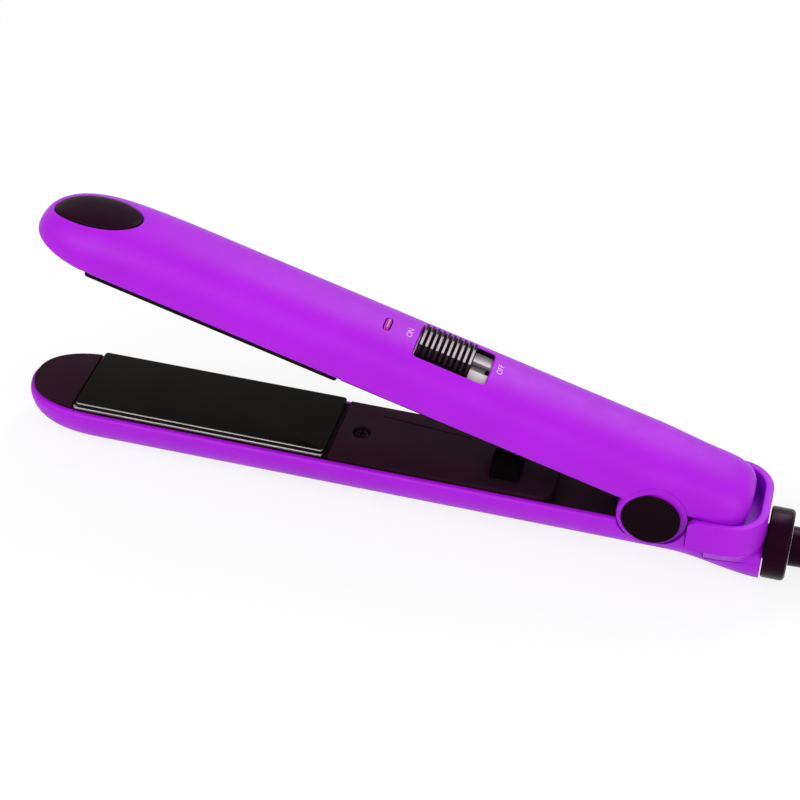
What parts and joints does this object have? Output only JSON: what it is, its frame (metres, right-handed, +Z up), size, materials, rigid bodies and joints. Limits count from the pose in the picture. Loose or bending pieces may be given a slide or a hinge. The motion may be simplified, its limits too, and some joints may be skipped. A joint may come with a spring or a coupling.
{
  "type": "flat iron",
  "caption": "Hinged hair straightening iron with two long rounded arms, ceramic hot plates, a slide switch, a swivelling cord outlet and a tied mains lead with plug.",
  "frame": {"origin": "middle of the iron's footprint on the surface it lies on, measured without the cord and its sleeve", "axes": "+X along the lower arm towards the cord, +Y across the arms, +Z up"},
  "size_m": [0.4881, 0.0579, 0.093],
  "materials": {
    "purple_casing": "satin",
    "black_plastic": "satin",
    "soft_black": "satin",
    "gloss_black": "gloss",
    "ceramic_plate": "ceramic gloss",
    "indicator_pink": "gloss",
    "steel": "satin",
    "spring_steel": "satin",
    "aluminium": "satin",
    "mica": "matt",
    "silicone": "matt",
    "board": "satin",
    "white_nylon": "satin",
    "red_lead": "satin",
    "blue_lead": "satin",
    "black_cord": "satin",
    "brass": "satin"
  },
  "bodies": {
    "lower_arm": {"lower_casing": "purple_casing", "rear_cradle": "purple_casing", "lower_inner_cover": "black_plastic", "lower_cover_screw": "steel", "lower_plate": "ceramic_plate", "lower_plate_frame": "black_plastic", "lower_heater": "mica", "lower_heater_clamp": "aluminium", "lower_cushion_front": "silicone", "lower_cushion_rear": "silicone", "thermostat": "white_nylon", "hinge_pin": "steel", "opening_spring": "spring_steel", "closing_bumper": "black_plastic", "terminal_block": "white_nylon", "lower_lead_live": "red_lead", "lower_lead_neutral": "blue_lead", "cord_lead": "black_cord", "cord_hank": "black_cord", "cord_tie": "black_plastic", "plug_body": "black_cord", "plug_blade_near": "brass", "plug_blade_far": "brass"},
    "upper_arm": {"upper_casing": "purple_casing", "thumb_rest": "soft_black", "switch_track": "gloss_black", "switch_body": "white_nylon", "circuit_board": "board", "indicator_lens": "indicator_pink", "indicator_lamp": "indicator_pink", "upper_inner_cover": "black_plastic", "upper_cover_screw": "steel", "upper_plate": "ceramic_plate", "upper_plate_frame": "black_plastic", "upper_heater": "mica", "upper_heater_clamp": "aluminium", "upper_cushion_front": "silicone", "upper_cushion_rear": "silicone", "thermal_fuse": "steel", "hinge_cap_near": "soft_black", "hinge_cap_far": "soft_black", "upper_lead_live": "red_lead", "upper_lead_neutral": "blue_lead"},
    "power_slider": {"power_slider": "black_plastic"},
    "cord_swivel": {"swivel_collar": "soft_black", "strain_relief": "soft_black"}
  },
  "joints": [
    {"name": "arm_hinge", "type": "hinge", "parent": "lower_arm", "child": "upper_arm", "pos_m": [0.0886, 0, 0.02679], "axis": [0, 1, 0], "range_deg": [-16, 0], "stiffness_Nm_per_rad": 1, "springref_deg": 14.32, "deforming": ["opening_spring"]},
    {"name": "switch_slide", "type": "slide", "parent": "upper_arm", "child": "power_slider", "axis": [0.9698, 0, -0.2439], "range_m": [0, 0.0058]},
    {"name": "swivel_turn", "type": "hinge", "parent": "lower_arm", "child": "cord_swivel", "pos_m": [0.12644, 0, 0.01232], "axis": [0.9994, 0, 0.0354], "continuous": true}
  ]
}
